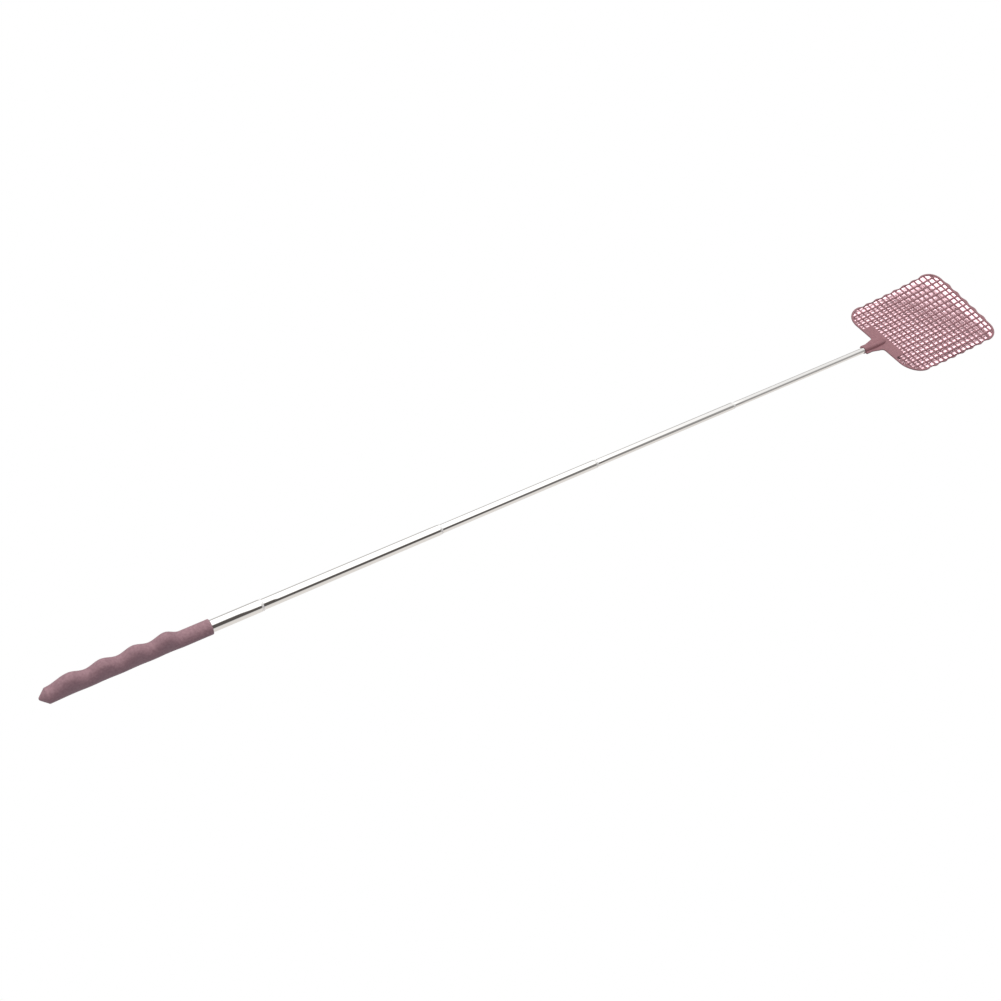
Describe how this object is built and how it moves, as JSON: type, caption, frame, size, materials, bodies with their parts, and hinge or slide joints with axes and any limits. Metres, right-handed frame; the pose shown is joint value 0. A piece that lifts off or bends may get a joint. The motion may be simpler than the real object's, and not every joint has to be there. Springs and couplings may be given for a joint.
{
  "type": "telescopic fly swatter",
  "caption": "Telescopic fly swatter: soft grip with finger crests, nested steel tubes that slide and turn, and a flexible square-mesh plastic head.",
  "frame": {"origin": "tip of the grip's conical butt, on the common axis of the tubes", "axes": "+X along the tubes from the butt to the head, +Z to the grip's finger crests and the side the head curls towards, +Y across the head"},
  "size_m": [0.7278, 0.0764, 0.0146],
  "materials": {
    "grip_soft_touch": "soft-touch matt, dusty mauve",
    "head_plastic": "satin moulded plastic, dusty mauve",
    "plug_plastic": "plain moulded plastic",
    "tube_steel": "bright polished stainless steel",
    "bush_brass": "turned, lightly greased",
    "leaf_bronze": "spring strip, as rolled"
  },
  "bodies": {
    "handle": {"grip": "grip_soft_touch", "base_plug": "plug_plastic", "tube_1": "tube_steel"},
    "leaves_2": {"leaf_2_upper": "leaf_bronze", "leaf_2_lower": "leaf_bronze"},
    "section_2": {"tube_2": "tube_steel", "bush_2": "bush_brass"},
    "leaves_3": {"leaf_3_upper": "leaf_bronze", "leaf_3_lower": "leaf_bronze"},
    "section_3": {"tube_3": "tube_steel", "bush_3": "bush_brass"},
    "leaves_4": {"leaf_4_upper": "leaf_bronze", "leaf_4_lower": "leaf_bronze"},
    "section_4": {"tube_4": "tube_steel", "bush_4": "bush_brass"},
    "leaves_5": {"leaf_5_upper": "leaf_bronze", "leaf_5_lower": "leaf_bronze"},
    "section_5": {"tube_5": "tube_steel", "bush_5": "bush_brass", "head": "head_plastic"}
  },
  "joints": [
    {"name": "slide_2", "type": "slide", "parent": "handle", "child": "leaves_2", "axis": [1, 0, 0], "range_m": [-0.1118, 0]},
    {"name": "turn_2", "type": "hinge", "parent": "leaves_2", "child": "section_2", "pos_m": [0.124, 0, 0], "axis": [1, 0, 0], "continuous": true},
    {"name": "slide_3", "type": "slide", "parent": "section_2", "child": "leaves_3", "axis": [1, 0, 0], "range_m": [-0.1118, 0]},
    {"name": "turn_3", "type": "hinge", "parent": "leaves_3", "child": "section_3", "pos_m": [0.244, 0, 0], "axis": [1, 0, 0], "continuous": true},
    {"name": "slide_4", "type": "slide", "parent": "section_3", "child": "leaves_4", "axis": [1, 0, 0], "range_m": [-0.1118, 0]},
    {"name": "turn_4", "type": "hinge", "parent": "leaves_4", "child": "section_4", "pos_m": [0.364, 0, 0], "axis": [1, 0, 0], "continuous": true},
    {"name": "slide_5", "type": "slide", "parent": "section_4", "child": "leaves_5", "axis": [1, 0, 0], "range_m": [-0.1118, 0]},
    {"name": "turn_5", "type": "hinge", "parent": "leaves_5", "child": "section_5", "pos_m": [0.484, 0, 0], "axis": [1, 0, 0], "continuous": true}
  ]
}
